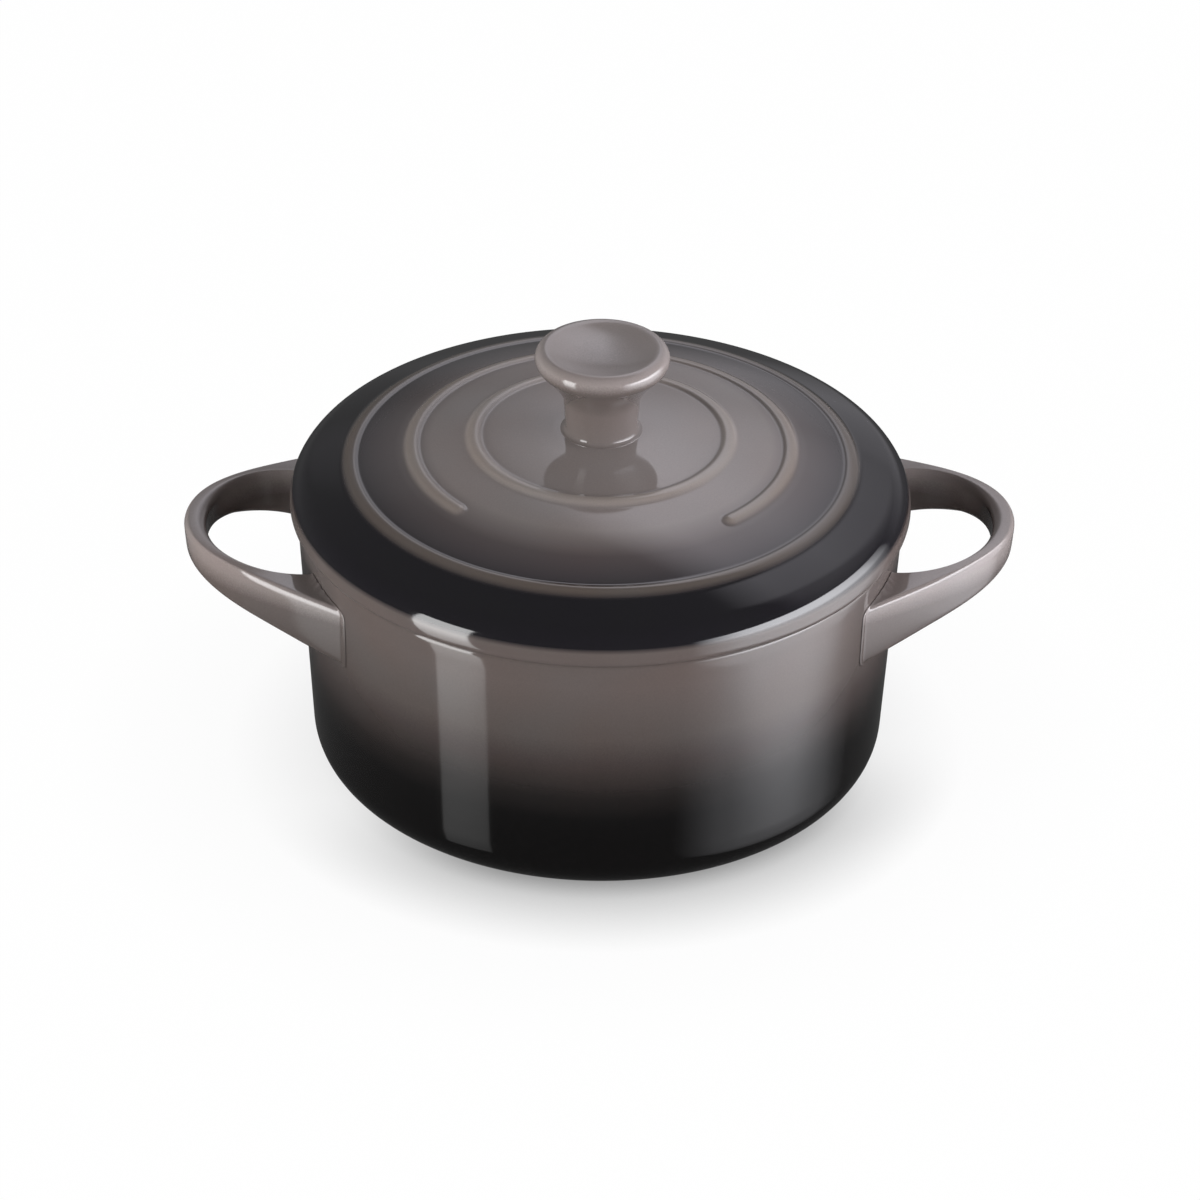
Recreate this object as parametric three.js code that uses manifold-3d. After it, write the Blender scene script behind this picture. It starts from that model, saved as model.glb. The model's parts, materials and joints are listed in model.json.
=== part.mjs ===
// Mini cocotte: a small round pot of glazed stoneware with two loop handles and a domed, ringed lid.
// Millimetres, +Z up. The origin is on the table, under the middle of the pot; the handles lie along X.

import * as THREE from 'three';
import { mergeVertices } from 'three/addons/utils/BufferGeometryUtils.js';
import Module from 'manifold-3d';

// Pot
const RIM_RADIUS = 50; // outside of the wall at the rim
const RIM_HEIGHT = 46.7; // table to the flat rim
const WALL_LEAN = THREE.MathUtils.degToRad(3.3); // the wall narrows towards the foot
const WALL = 5; // thickness of the wall
const FLOOR = 5; // thickness of the floor
const CORNER_RADIUS = 7; // outside, between the wall and the underside
const INNER_CORNER_RADIUS = 8; // inside, between the wall and the floor
const RIM_ROUND = 1; // both edges of the flat rim
const FOOT_HEIGHT = 0.6; // how far the foot ring stands below the underside
const FOOT_WIDTH = 4; // flat, unglazed width of the foot ring
const FOOT_BEVEL = 0.4; // softened edges of the foot ring
const FOOT_RECESS = 1.4; // hollow of the underside inside the foot ring

// Lid
const LID_OVERHANG = 1.25; // lid edge past the outside of the rim
const LID_HEIGHT = 14.6; // rim to the top of the dome
const LID_EDGE_ROUND = 5.2; // top rounding of the lid's edge, which runs on into the dome
const LID_UNDERCUT = 1.4; // lower rounding of that edge
const LID_WALL = 5; // thickness of the dome
const FLANGE_DEPTH = 3.6; // locating flange below the seat
const FLANGE_WIDTH = 3.6;
const FLANGE_CLEARANCE = 0.9; // between the flange and the inside of the wall
const FLANGE_ROUND = 1; // lower edges of the flange

// Raised rings on the lid
const BRIM_WIDTH = 9.9; // lid edge to the crest of the outer ring
const RING_PITCH = 10.15; // crest to crest
const RING_WIDTH = 3;
const RING_RELIEF = 0.9;
const RING_GAP = THREE.MathUtils.degToRad(90); // bare stretch of the middle ring, at the front
const LID_TURN = THREE.MathUtils.degToRad(-4.4); // the lid is set down a little out of square

// Knob
const KNOB_HEIGHT = 15.1; // lid to the crest of the knob
const KNOB_RADIUS = 11.05;
const KNOB_EDGE_ROUND = 1.8; // upper rounding of the knob's edge, up to the crest
const KNOB_BELLY_ROUND = 2.4; // lower rounding of that edge
const KNOB_BELLY_SWEEP = THREE.MathUtils.degToRad(45); // of that rounding, before it curves in to the stem
const KNOB_DEPTH = 8; // widest part of the knob down to the stem
const KNOB_DISH = 1.4; // depth of the dished top
const STEM_RADIUS = 5.7; // at the foot of the stem
const STEM_FLARE = 0.5; // wider at the top by this much
const STEM_FILLET = 1.4; // at the foot of the stem
const KNOB_SEAT_MARGIN = 0.6; // flat of the lid past the foot of the knob

// Loop handles
const HANDLE_REACH = 18.8; // tip of the loop past the rim
const HANDLE_SPREAD = 27; // half width across the roots of the arms
const ROOT_DEPTH = 0.7; // how far the roots run into the wall before they are cut to it
const ARM_ANGLE = THREE.MathUtils.degToRad(26.9); // arms close in from the roots at this angle
const ARM_RUN = 20.5; // how far the arms run straight before they bend
const TIP_BULGE = 10.5; // flatness of the loop's outer end
const TIP_THICKNESS = 3.9;
const FINGER_HOLE_LENGTH = 26.7; // the finger hole is an oval, partly closed by the wall
const FINGER_HOLE_WIDTH = 32.5;
const FINGER_HOLE_SWEEP = THREE.MathUtils.degToRad(145); // of the oval, from the tip into the wall
const HANDLE_DROP = 5; // rim to the top of the roots
const HANDLE_RISE = 2.9; // top of the tip above the top of the roots
const CROWN_POWER = 0.75; // how soon the top rises from the roots
const ROOT_HEIGHT = 11.2;
const TIP_HEIGHT = 5.7;
const BELLY_POWER = 1.1; // how soon the underside sweeps up from the roots
const FACE_LEAN = THREE.MathUtils.degToRad(5); // the outside leans in towards its lower edge
const CREASE_ROUND = 0.9; // top edge on the outside, which stays crisp
const FINGER_ROUND = 1.8; // top edge on the finger side
const LOWER_ROUND = 1.2; // both lower edges
const LUTING_GAP = 0.3; // slip joint between a handle and the wall

// Fineness of the round forms
const TURN_STEPS = 52;
const KNOB_STEPS = 36;
const ARC_STEPS = 3;
const DOME_STEPS = 3;
const RING_STEPS = 6;
const HANDLE_STATIONS = 28;
const HANDLE_CORNER_STEPS = 3;
const WEDGE_STEPS = 4;
const WELD_TOLERANCE = 1e-4;

// Glaze
const TAUPE_GLAZE = '#807774';
const POT_GLAZE = '#5a5351';
const LID_GLAZE = '#3c3a3b';
const GLAZE_ROUGHNESS = 0.15;

const wasm = await Module();
wasm.setup();

const QUARTER = Math.PI / 2;

// Points of an arc in the profile plane: x is the radius, y the height
function arc(x, y, radius, from, to, steps = ARC_STEPS) {
  const points = [];
  for (let i = 0; i <= steps; i += 1) {
    const angle = from + ((to - from) * i) / steps;
    points.push(new THREE.Vector2(x + radius * Math.cos(angle), y + radius * Math.sin(angle)));
  }
  return points;
}

const at = (x, y) => new THREE.Vector2(x, y);

// A body turned about Z from a profile that runs up the outside from axis to axis
function turned(profile, steps = TURN_STEPS) {
  return new THREE.LatheGeometry(profile, steps).rotateX(QUARTER);
}

// A geometry with its shared corners welded and its slivers at the axis dropped
function welded(geometry) {
  const bare = geometry.clone();
  bare.deleteAttribute('normal');
  bare.deleteAttribute('uv');
  const merged = mergeVertices(bare, WELD_TOLERANCE);
  const corners = merged.index.array;
  const kept = [];
  for (let i = 0; i < corners.length; i += 3) {
    const [a, b, c] = corners.slice(i, i + 3);
    if (a !== b && b !== c && c !== a) kept.push(a, b, c);
  }
  merged.setIndex(kept);
  return merged;
}

function solid(geometry) {
  const mesh = welded(geometry);
  return new wasm.Manifold(
    new wasm.Mesh({
      numProp: 3,
      vertProperties: new Float32Array(mesh.attributes.position.array),
      triVerts: new Uint32Array(mesh.index.array),
    }),
  );
}

function fromSolid(body) {
  const mesh = body.getMesh();
  const geometry = new THREE.BufferGeometry();
  geometry.setAttribute('position', new THREE.Float32BufferAttribute(mesh.vertProperties, 3));
  geometry.setIndex(new THREE.Uint32BufferAttribute(mesh.triVerts, 1));
  return geometry;
}

function glazed(name, geometry, color) {
  const material = new THREE.MeshStandardMaterial({ color, roughness: GLAZE_ROUGHNESS, metalness: 0 });
  geometry.computeVertexNormals();
  const mesh = new THREE.Mesh(geometry, material);
  mesh.name = name;
  return mesh;
}

// The wall leans evenly, so its radius follows from the height
const wallRadius = (height) => RIM_RADIUS - (RIM_HEIGHT - height) * Math.tan(WALL_LEAN);
const RIM_INSIDE = RIM_RADIUS - WALL;

// Centre of a corner arc that touches a leaning wall and a level floor
function cornerCentre(radius, floorHeight, inset) {
  const height = floorHeight + radius;
  return at(wallRadius(height) - inset - radius / Math.cos(WALL_LEAN), height);
}

// Outside of the pot from the underside to the rim, grown outwards by a gap
function potOutside(gap = 0) {
  const radius = CORNER_RADIUS + gap;
  const centre = cornerCentre(CORNER_RADIUS, FOOT_HEIGHT, 0);
  const rimRadius = RIM_ROUND + gap;
  return [
    ...arc(centre.x, centre.y, radius, -QUARTER, -WALL_LEAN, ARC_STEPS + 2),
    ...arc(RIM_RADIUS - RIM_ROUND, RIM_HEIGHT - RIM_ROUND, rimRadius, -WALL_LEAN, QUARTER),
  ];
}

function makePot() {
  const floorHeight = FOOT_HEIGHT + FLOOR;
  const footOuter = cornerCentre(CORNER_RADIUS, FOOT_HEIGHT, 0).x;
  const footInner = footOuter - FOOT_WIDTH;
  const inner = cornerCentre(INNER_CORNER_RADIUS, floorHeight, WALL);
  const profile = [
    at(0, FOOT_RECESS),
    at(footInner - FOOT_RECESS, FOOT_RECESS),
    at(footInner, 0),
    at(footOuter - FOOT_BEVEL, 0),
    at(footOuter, FOOT_BEVEL),
    ...potOutside(),
    ...arc(RIM_INSIDE + RIM_ROUND, RIM_HEIGHT - RIM_ROUND, RIM_ROUND, QUARTER, Math.PI - WALL_LEAN),
    ...arc(inner.x, inner.y, INNER_CORNER_RADIUS, -WALL_LEAN, -QUARTER, ARC_STEPS + 2),
    at(0, floorHeight),
  ];
  return glazed('pot', welded(turned(profile)), POT_GLAZE);
}

// The dome is part of a sphere that the rounding of the lid's edge runs into without a crease
const LID_RADIUS = RIM_RADIUS + LID_OVERHANG;
const EDGE_CENTRE = at(LID_RADIUS - LID_EDGE_ROUND, RIM_HEIGHT + LID_UNDERCUT);
const EDGE_TO_TOP = LID_HEIGHT - LID_UNDERCUT;
const DOME_RADIUS =
  (EDGE_CENTRE.x ** 2 + EDGE_TO_TOP ** 2 - LID_EDGE_ROUND ** 2) / (2 * (EDGE_TO_TOP - LID_EDGE_ROUND));
const DOME_CENTRE = RIM_HEIGHT + LID_HEIGHT - DOME_RADIUS;
const EDGE_SWEEP = Math.acos(EDGE_CENTRE.x / (DOME_RADIUS - LID_EDGE_ROUND));
const DOME_FOOT = EDGE_CENTRE.x + LID_EDGE_ROUND * Math.cos(EDGE_SWEEP);
const domeHeight = (radius, sphere = DOME_RADIUS) => DOME_CENTRE + Math.sqrt(sphere ** 2 - radius ** 2);

const KNOB_FOOT = STEM_RADIUS + STEM_FILLET;
const KNOB_SEAT_RADIUS = KNOB_FOOT + KNOB_SEAT_MARGIN;
const KNOB_SEAT = domeHeight(KNOB_SEAT_RADIUS);

const OUTER_RING = LID_RADIUS - BRIM_WIDTH;
const MIDDLE_RING = OUTER_RING - RING_PITCH;
const INNER_RING = MIDDLE_RING - RING_PITCH;
const RING_ROUND = (RING_RELIEF ** 2 + (RING_WIDTH / 2) ** 2) / (2 * RING_RELIEF);

// Points of the dome between two radii, outside or one wall further in
function dome(from, to, sphere = DOME_RADIUS, steps = DOME_STEPS) {
  const points = [];
  for (let i = 0; i <= steps; i += 1) {
    const radius = from + ((to - from) * i) / steps;
    points.push(at(radius, domeHeight(radius, sphere)));
  }
  return points;
}

// Points of a raised ring's rounded section, which stands on the dome
function raisedRing(radius) {
  const points = [];
  for (let i = 0; i <= RING_STEPS; i += 1) {
    const across = RING_WIDTH / 2 - (RING_WIDTH * i) / RING_STEPS;
    const proud = Math.sqrt(RING_ROUND ** 2 - across ** 2) - RING_ROUND + RING_RELIEF;
    points.push(at(radius + across, domeHeight(radius + across) + proud));
  }
  return points;
}

function lidShell() {
  const flangeOuter = RIM_INSIDE - FLANGE_CLEARANCE;
  const flangeInner = flangeOuter - FLANGE_WIDTH;
  const flangeFoot = RIM_HEIGHT - FLANGE_DEPTH;
  const half = RING_WIDTH / 2;
  const profile = [
    ...dome(0, flangeInner, DOME_RADIUS - LID_WALL, 2 * DOME_STEPS),
    ...arc(flangeInner + FLANGE_ROUND, flangeFoot + FLANGE_ROUND, FLANGE_ROUND, Math.PI, 3 * QUARTER),
    ...arc(flangeOuter - FLANGE_ROUND, flangeFoot + FLANGE_ROUND, FLANGE_ROUND, -QUARTER, 0),
    at(flangeOuter, RIM_HEIGHT),
    ...arc(LID_RADIUS - LID_UNDERCUT, RIM_HEIGHT + LID_UNDERCUT, LID_UNDERCUT, -QUARTER, 0),
    ...arc(EDGE_CENTRE.x, EDGE_CENTRE.y, LID_EDGE_ROUND, 0, EDGE_SWEEP, 2 * ARC_STEPS).slice(1),
    ...dome(DOME_FOOT, OUTER_RING + half).slice(1, -1),
    ...raisedRing(OUTER_RING),
    ...dome(OUTER_RING - half, INNER_RING + half, DOME_RADIUS, 2 * DOME_STEPS).slice(1, -1),
    ...raisedRing(INNER_RING),
    ...dome(INNER_RING - half, KNOB_SEAT_RADIUS).slice(1),
    at(0, KNOB_SEAT),
  ];
  return solid(turned(profile));
}

// The middle ring is a torus sunk in the dome, with its front stretch left out
function brokenRing() {
  const torus = new THREE.TorusGeometry(MIDDLE_RING, RING_ROUND, 2 * RING_STEPS, TURN_STEPS);
  torus.translate(0, 0, domeHeight(MIDDLE_RING) + RING_RELIEF - RING_ROUND);
  return solid(torus).subtract(frontWedge());
}

// A wedge of the space over the lid, centred on the front, that bares a stretch of a ring
function frontWedge() {
  const slice = new THREE.Shape();
  const from = LID_TURN - QUARTER - RING_GAP / 2;
  const reach = LID_RADIUS / Math.cos(RING_GAP / WEDGE_STEPS);
  slice.moveTo(0, 0);
  for (let i = 0; i <= WEDGE_STEPS; i += 1) {
    const angle = from + (RING_GAP * i) / WEDGE_STEPS;
    slice.lineTo(reach * Math.cos(angle), reach * Math.sin(angle));
  }
  slice.closePath();
  const depth = 2 * LID_HEIGHT;
  return solid(new THREE.ExtrudeGeometry(slice, { depth, bevelEnabled: false }).translate(0, 0, RIM_HEIGHT));
}

function makeLid() {
  return glazed('lid', fromSolid(lidShell().add(brokenRing())), LID_GLAZE);
}

function makeKnob() {
  const widest = KNOB_HEIGHT - KNOB_EDGE_ROUND;
  const crest = KNOB_RADIUS - KNOB_EDGE_ROUND;
  const neck = STEM_RADIUS + STEM_FLARE;
  const belly = arc(KNOB_RADIUS - KNOB_BELLY_ROUND, widest, KNOB_BELLY_ROUND, -KNOB_BELLY_SWEEP, 0);
  const [start] = belly;
  const underside = new THREE.QuadraticBezierCurve(
    at(neck, widest - KNOB_DEPTH),
    at(neck, start.y - (start.x - neck) / Math.tan(KNOB_BELLY_SWEEP)),
    start,
  );
  const dishRadius = (crest ** 2 + KNOB_DISH ** 2) / (2 * KNOB_DISH);
  const dishHalfAngle = Math.asin(crest / dishRadius);
  const dishCentre = KNOB_HEIGHT - KNOB_DISH + dishRadius;
  const profile = [
    at(0, 0),
    at(KNOB_FOOT, 0),
    ...arc(KNOB_FOOT, STEM_FILLET, STEM_FILLET, 3 * QUARTER, 2 * QUARTER).slice(1),
    ...underside.getPoints(2 * ARC_STEPS),
    ...belly.slice(1),
    ...arc(crest, widest, KNOB_EDGE_ROUND, 0, QUARTER, 2 * ARC_STEPS).slice(1),
    ...arc(0, dishCentre, dishRadius, -QUARTER + dishHalfAngle, -QUARTER).slice(1),
  ];
  const knob = glazed('knob', welded(turned(profile, KNOB_STEPS)), TAUPE_GLAZE);
  knob.position.z = KNOB_SEAT;
  return knob;
}

// Outer edge of half a loop in plan, from the root of an arm to the tip
function loopOutside() {
  const rootHeight = RIM_HEIGHT - HANDLE_DROP;
  const rootX = Math.sqrt((wallRadius(rootHeight) - ROOT_DEPTH) ** 2 - HANDLE_SPREAD ** 2);
  const root = at(rootX, HANDLE_SPREAD);
  const tip = at(RIM_RADIUS + HANDLE_REACH, 0);
  return new THREE.CubicBezierCurve(
    root,
    at(root.x + ARM_RUN * Math.cos(ARM_ANGLE), root.y - ARM_RUN * Math.sin(ARM_ANGLE)),
    at(tip.x, TIP_BULGE),
    tip,
  );
}

// Corners of an upright section with rounded edges, from the inner to the outer plan point
function handleSection(inside, outside, bottom, top) {
  const width = inside.distanceTo(outside);
  const outward = outside.clone().sub(inside).normalize();
  const foot = bottom + LOWER_ROUND;
  const crease = top - CREASE_ROUND;
  // Where an outer rounding at a height has its middle, so that it touches the leaning face
  const underFace = (height, radius) =>
    width - ((top - height) * Math.sin(FACE_LEAN) + radius) / Math.cos(FACE_LEAN);
  const corners = [
    [underFace(foot, LOWER_ROUND), foot, LOWER_ROUND, -QUARTER, -FACE_LEAN],
    [underFace(crease, CREASE_ROUND), crease, CREASE_ROUND, -FACE_LEAN, QUARTER],
    [FINGER_ROUND, top - FINGER_ROUND, FINGER_ROUND, QUARTER, 2 * QUARTER],
    [LOWER_ROUND, foot, LOWER_ROUND, 2 * QUARTER, 3 * QUARTER],
  ];
  return corners.flatMap(([x, y, radius, from, to]) =>
    arc(x, y, radius, from, to, HANDLE_CORNER_STEPS).map(
      (p) => new THREE.Vector3(inside.x + outward.x * p.x, inside.y + outward.y * p.x, p.y),
    ),
  );
}

// A closed skin over a row of sections that have equally many points
function loft(sections) {
  const ring = sections[0].length;
  const index = [];
  for (let s = 0; s + 1 < sections.length; s += 1) {
    for (let i = 0; i < ring; i += 1) {
      const a = s * ring + i;
      const b = s * ring + ((i + 1) % ring);
      index.push(a, a + ring, b, b, a + ring, b + ring);
    }
  }
  const last = (sections.length - 1) * ring;
  for (let i = 1; i + 1 < ring; i += 1) {
    index.push(0, i, i + 1, last, last + i + 1, last + i);
  }
  const geometry = new THREE.BufferGeometry().setFromPoints(sections.flat());
  geometry.setIndex(index);
  return geometry;
}

// The loop is lofted from root to root round its oval finger hole, then cut to the wall it is stuck to
function makeHandle(name, turn) {
  const outside = loopOutside();
  const tipX = RIM_RADIUS + HANDLE_REACH;
  const holeX = tipX - TIP_THICKNESS - FINGER_HOLE_LENGTH / 2;
  const rootX = outside.v0.x;
  const rootTop = RIM_HEIGHT - HANDLE_DROP;
  const sections = [];
  for (let i = 0; i <= HANDLE_STATIONS; i += 1) {
    const along = (2 * i) / HANDLE_STATIONS - 1;
    const side = Math.sign(along);
    const outer = outside.getPoint(1 - Math.abs(along));
    const share = (outer.x - rootX) / (tipX - rootX);
    const angle = FINGER_HOLE_SWEEP * Math.abs(along);
    const inner = at(
      holeX + (FINGER_HOLE_LENGTH / 2) * Math.cos(angle),
      side * (FINGER_HOLE_WIDTH / 2) * Math.sin(angle),
    );
    outer.y *= side;
    const top = rootTop + HANDLE_RISE * share ** CROWN_POWER;
    const bottomAtRoot = rootTop - ROOT_HEIGHT;
    const bottomAtTip = rootTop + HANDLE_RISE - TIP_HEIGHT;
    const bottom = bottomAtRoot + (bottomAtTip - bottomAtRoot) * share ** BELLY_POWER;
    sections.push(handleSection(inner, outer, bottom, top));
  }
  const wall = turned([
    at(0, FOOT_HEIGHT - LUTING_GAP),
    ...potOutside(LUTING_GAP),
    at(0, RIM_HEIGHT + LUTING_GAP),
  ]);
  const loop = solid(loft(sections)).subtract(solid(wall));
  const handle = glazed(name, fromSolid(loop), TAUPE_GLAZE);
  handle.rotation.z = turn;
  return handle;
}

const cocotte = new THREE.Group();
cocotte.add(makePot());
cocotte.add(makeHandle('handle_right', 0));
cocotte.add(makeHandle('handle_left', Math.PI));

const cover = new THREE.Group();
cover.add(makeLid());
cover.add(makeKnob());
cocotte.add(cover);

export default cocotte;
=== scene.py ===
"""Mini cocotte: a small lidded pot of glazed stoneware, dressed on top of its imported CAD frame.

Metres, +Z up. The origin is on the table, under the middle of the pot; the handles lie along X.
"""

import json
import logging
import math
from abc import ABC, abstractmethod
from collections.abc import Callable
from dataclasses import dataclass, field
from enum import Enum
from itertools import pairwise
from typing import Any

import bpy
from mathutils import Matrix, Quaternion, Vector

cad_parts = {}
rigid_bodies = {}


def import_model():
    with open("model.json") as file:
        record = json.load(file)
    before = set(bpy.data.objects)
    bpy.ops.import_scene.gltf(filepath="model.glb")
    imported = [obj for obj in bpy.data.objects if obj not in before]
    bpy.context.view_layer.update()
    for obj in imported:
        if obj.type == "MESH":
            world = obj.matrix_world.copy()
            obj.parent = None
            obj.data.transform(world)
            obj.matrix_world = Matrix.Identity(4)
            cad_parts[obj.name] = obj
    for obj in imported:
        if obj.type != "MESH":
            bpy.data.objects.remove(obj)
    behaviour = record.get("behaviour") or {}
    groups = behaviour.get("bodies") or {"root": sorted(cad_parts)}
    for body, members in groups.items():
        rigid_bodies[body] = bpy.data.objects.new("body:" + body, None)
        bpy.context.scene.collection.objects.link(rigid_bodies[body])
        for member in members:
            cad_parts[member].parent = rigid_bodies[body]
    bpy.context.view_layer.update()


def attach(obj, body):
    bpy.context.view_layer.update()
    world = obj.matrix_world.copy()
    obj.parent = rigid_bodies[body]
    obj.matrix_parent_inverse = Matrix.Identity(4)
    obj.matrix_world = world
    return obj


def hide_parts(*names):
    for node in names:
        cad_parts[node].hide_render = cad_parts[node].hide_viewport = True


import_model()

log = logging.getLogger("cocotte")

MM = 0.001
QUARTER = math.pi / 2

Outline = list[tuple[float, float]]
Stops = tuple[tuple[float, str], ...]
Shares = tuple[tuple[float, float], ...]

# Meshes
WELD = 0.002 * MM
MIRROR_WELD = 0.01 * MM
LONGEST_RUN = 2 * MM
SMOOTH_ANGLE = math.radians(40)

# Glaze and clay
GLAZE_IOR = 1.55
RIPPLE_HEIGHT = 0.012 * MM
BAND_BLUR = 0.4 * MM
WARMTH_LENGTH = 14 * MM
WARMTH_SWING = 0.4
SPECKLE_SWING = 0.1
CLAY_COLOUR = "#b9a894"
CLAY_ROUGHNESS = 0.75

# Light: an area lamp's power is this many times its brightness times its area
AREA_LAMP_FACTOR = 4
WHITE = "#ffffff"
EVEN: Shares = ((0.0, 1.0), (1.0, 1.0))


class Side(Enum):
    """Which way a handle points along X."""

    RIGHT = 1
    LEFT = -1


class Fade(Enum):
    """What a glaze's colour follows, from the first stop to the last."""

    HEIGHT = "height"
    RADIUS = "radius"


# Outlines and turned pieces


def arc(x: float, y: float, radius: float, start: float, end: float, steps: int) -> Outline:
    """Points of an arc in an outline, where x is the radius and y the height.

    Args:
        x: Radius of the arc's centre from the axis.
        y: Height of the arc's centre.
        radius: Radius of the arc.
        start: First angle, in radians.
        end: Last angle, in radians.
        steps: How many parts the arc has.

    Returns:
        The points, both ends included.
    """
    angles = [start + (end - start) * i / steps for i in range(steps + 1)]
    return [(x + radius * math.cos(a), y + radius * math.sin(a)) for a in angles]


def with_supports(outline: Outline, longest: float) -> Outline:
    """Splits the long straight runs of an outline, so that smooth shading stays true on them.

    Args:
        outline: The points of the outline.
        longest: The longest run that is left whole.

    Returns:
        The outline with more points on its long runs.
    """
    points = [outline[0]]
    for (r0, z0), (r1, z1) in pairwise(outline):
        parts = max(1, math.ceil(math.hypot(r1 - r0, z1 - z0) / longest))
        points += [(r0 + (r1 - r0) * i / parts, z0 + (z1 - z0) * i / parts) for i in range(1, parts + 1)]
    return points


def start_piece(name: str) -> bpy.types.Object:
    """Adds an empty piece at the origin, opens it in edit mode and returns it."""
    bpy.ops.object.select_all(action="DESELECT")
    bpy.ops.mesh.primitive_plane_add(size=MM)
    piece = bpy.context.object
    piece.name = name
    bpy.ops.object.mode_set(mode="EDIT")
    bpy.ops.mesh.delete(type="VERT")
    return piece


def draw_line(points: list[Vector]) -> None:
    """Draws a line of edges through points, in edit mode, and leaves it selected."""
    bpy.ops.mesh.primitive_plane_add(size=MM)
    bpy.ops.mesh.merge(type="CENTER")
    bpy.ops.transform.translate(value=points[0])
    for here, there in pairwise(points):
        bpy.ops.mesh.extrude_region_move(TRANSFORM_OT_translate={"value": there - here})
    bpy.ops.mesh.select_linked()


def turned(name: str, outline: Outline, steps: int) -> bpy.types.Object:
    """Turns an outline about Z into a closed, smooth piece.

    Args:
        name: Name of the piece.
        outline: Points that run from the axis round the section and back to the axis.
        steps: How many parts the turn has.

    Returns:
        The piece, at the origin.
    """
    piece = start_piece(name)
    draw_line([Vector((radius, 0, height)) for radius, height in outline])
    bpy.ops.mesh.spin(steps=steps, angle=2 * math.pi, center=(0, 0, 0), axis=(0, 0, 1))
    tidy_mesh()
    bpy.ops.object.mode_set(mode="OBJECT")
    bpy.ops.object.shade_smooth()
    return piece


def tidy_mesh() -> None:
    """Merges doubles and turns all faces outwards, in edit mode."""
    bpy.ops.mesh.select_all(action="SELECT")
    bpy.ops.mesh.remove_doubles(threshold=WELD)
    bpy.ops.mesh.normals_make_consistent(inside=False)


def apply_modifier(piece: bpy.types.Object, kind: str, **settings: Any) -> None:
    """Adds a modifier to a piece and applies it.

    Args:
        piece: The piece, which becomes the active object.
        kind: The modifier's type, as Blender names it.
        **settings: Its settings.
    """
    bpy.context.view_layer.objects.active = piece
    modifier = piece.modifiers.new(kind.title(), kind)
    for key, value in settings.items():
        setattr(modifier, key, value)
    bpy.ops.object.modifier_apply(modifier=modifier.name)


def swell(
    piece: bpy.types.Object, weight: Callable[[Vector], float], height: float, direction: str
) -> None:
    """Raises the surface of a piece where a weight says so.

    Args:
        piece: The piece.
        weight: Says the share of the height at a point, from 0 to 1.
        height: How far the surface rises at weight 1.
        direction: Which way it rises, as the Displace modifier names it.
    """
    group = piece.vertex_groups.new(name="swell")
    for vertex in piece.data.vertices:
        amount = weight(vertex.co)
        if amount > 0:
            group.add([vertex.index], amount, "REPLACE")
    apply_modifier(
        piece, "DISPLACE", direction=direction, mid_level=0.0, strength=height, vertex_group=group.name
    )
    piece.vertex_groups.clear()


def keep_attribute(piece: bpy.types.Object, name: str, values: list[float]) -> None:
    """Stores one value per vertex on a piece, for its material to read."""
    piece.data.attributes.new(name, "FLOAT", "POINT").data.foreach_set("value", values)


def ridge(offset: float, half: float) -> float:
    """Height of a ridge with a broad soft top, 1 in its middle and 0 from half its width outwards."""
    return max(0.0, 1 - abs(offset / half) ** 3) ** 2


# Materials


def linear(code: str) -> tuple[float, float, float, float]:
    """Turns an sRGB hex code into a linear colour."""
    parts = [int(code[i : i + 2], 16) / 255 for i in (1, 3, 5)]
    light = [p / 12.92 if p <= 0.04045 else ((p + 0.055) / 1.055) ** 2.4 for p in parts]
    return (*light, 1.0)


def grey(light: float) -> str:
    """The hex code of a grey of a linear brightness from 0 to 1."""
    part = 12.92 * light if light <= 0.0031308 else 1.055 * light ** (1 / 2.4) - 0.055
    return "#" + f"{round(part * 255):02x}" * 3


def add_node(
    tree: bpy.types.NodeTree, kind: str, inputs: dict | None = None, **settings: Any
) -> bpy.types.Node:
    """Adds a node, with its settings, values and links.

    Args:
        tree: The node tree.
        kind: The node's type, without its "ShaderNode" start.
        inputs: Values or output sockets for its inputs, by name or number.
        **settings: The node's own settings.

    Returns:
        The node.
    """
    node = tree.nodes.new("ShaderNode" + kind)
    for key, value in settings.items():
        setattr(node, key, value)
    for key, value in (inputs or {}).items():
        if isinstance(value, bpy.types.NodeSocket):
            tree.links.new(value, node.inputs[key])
        else:
            node.inputs[key].default_value = value
    return node


def add_ramp(tree: bpy.types.NodeTree, along: bpy.types.NodeSocket, stops: Stops) -> bpy.types.NodeSocket:
    """Adds a colour ramp over places in metres.

    Args:
        tree: The node tree.
        along: Socket with the place.
        stops: Places and the colours there, in rising order.

    Returns:
        The socket with the colour.
    """
    first, last = stops[0][0], stops[-1][0]
    share = add_node(tree, "MapRange", {"Value": along, "From Min": first, "From Max": last})
    ramp = add_node(tree, "ValToRGB", {"Fac": share.outputs[0]})
    elements = ramp.color_ramp.elements
    while len(elements) < len(stops):
        elements.new(1.0)
    for element, (at, code) in zip(elements, stops, strict=True):
        element.position = (at - first) / (last - first)
        element.color = linear(code)
    return ramp.outputs["Color"]


def marked(tree: bpy.types.NodeTree, attribute: str) -> bpy.types.NodeSocket:
    """Adds a node that reads a piece's own attribute, and returns its value."""
    return add_node(tree, "Attribute", attribute_name=attribute).outputs["Fac"]


def mixed(tree: bpy.types.NodeTree, share: Any, under: Any, over: Any) -> bpy.types.NodeSocket:
    """Adds a mix of two colours.

    Args:
        tree: The node tree.
        share: Share of the second colour, or its socket.
        under: The first colour, or its socket.
        over: The second colour, or its socket.

    Returns:
        The socket with the mix.
    """
    return add_node(tree, "MixRGB", {"Fac": share, "Color1": under, "Color2": over}).outputs[0]


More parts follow.
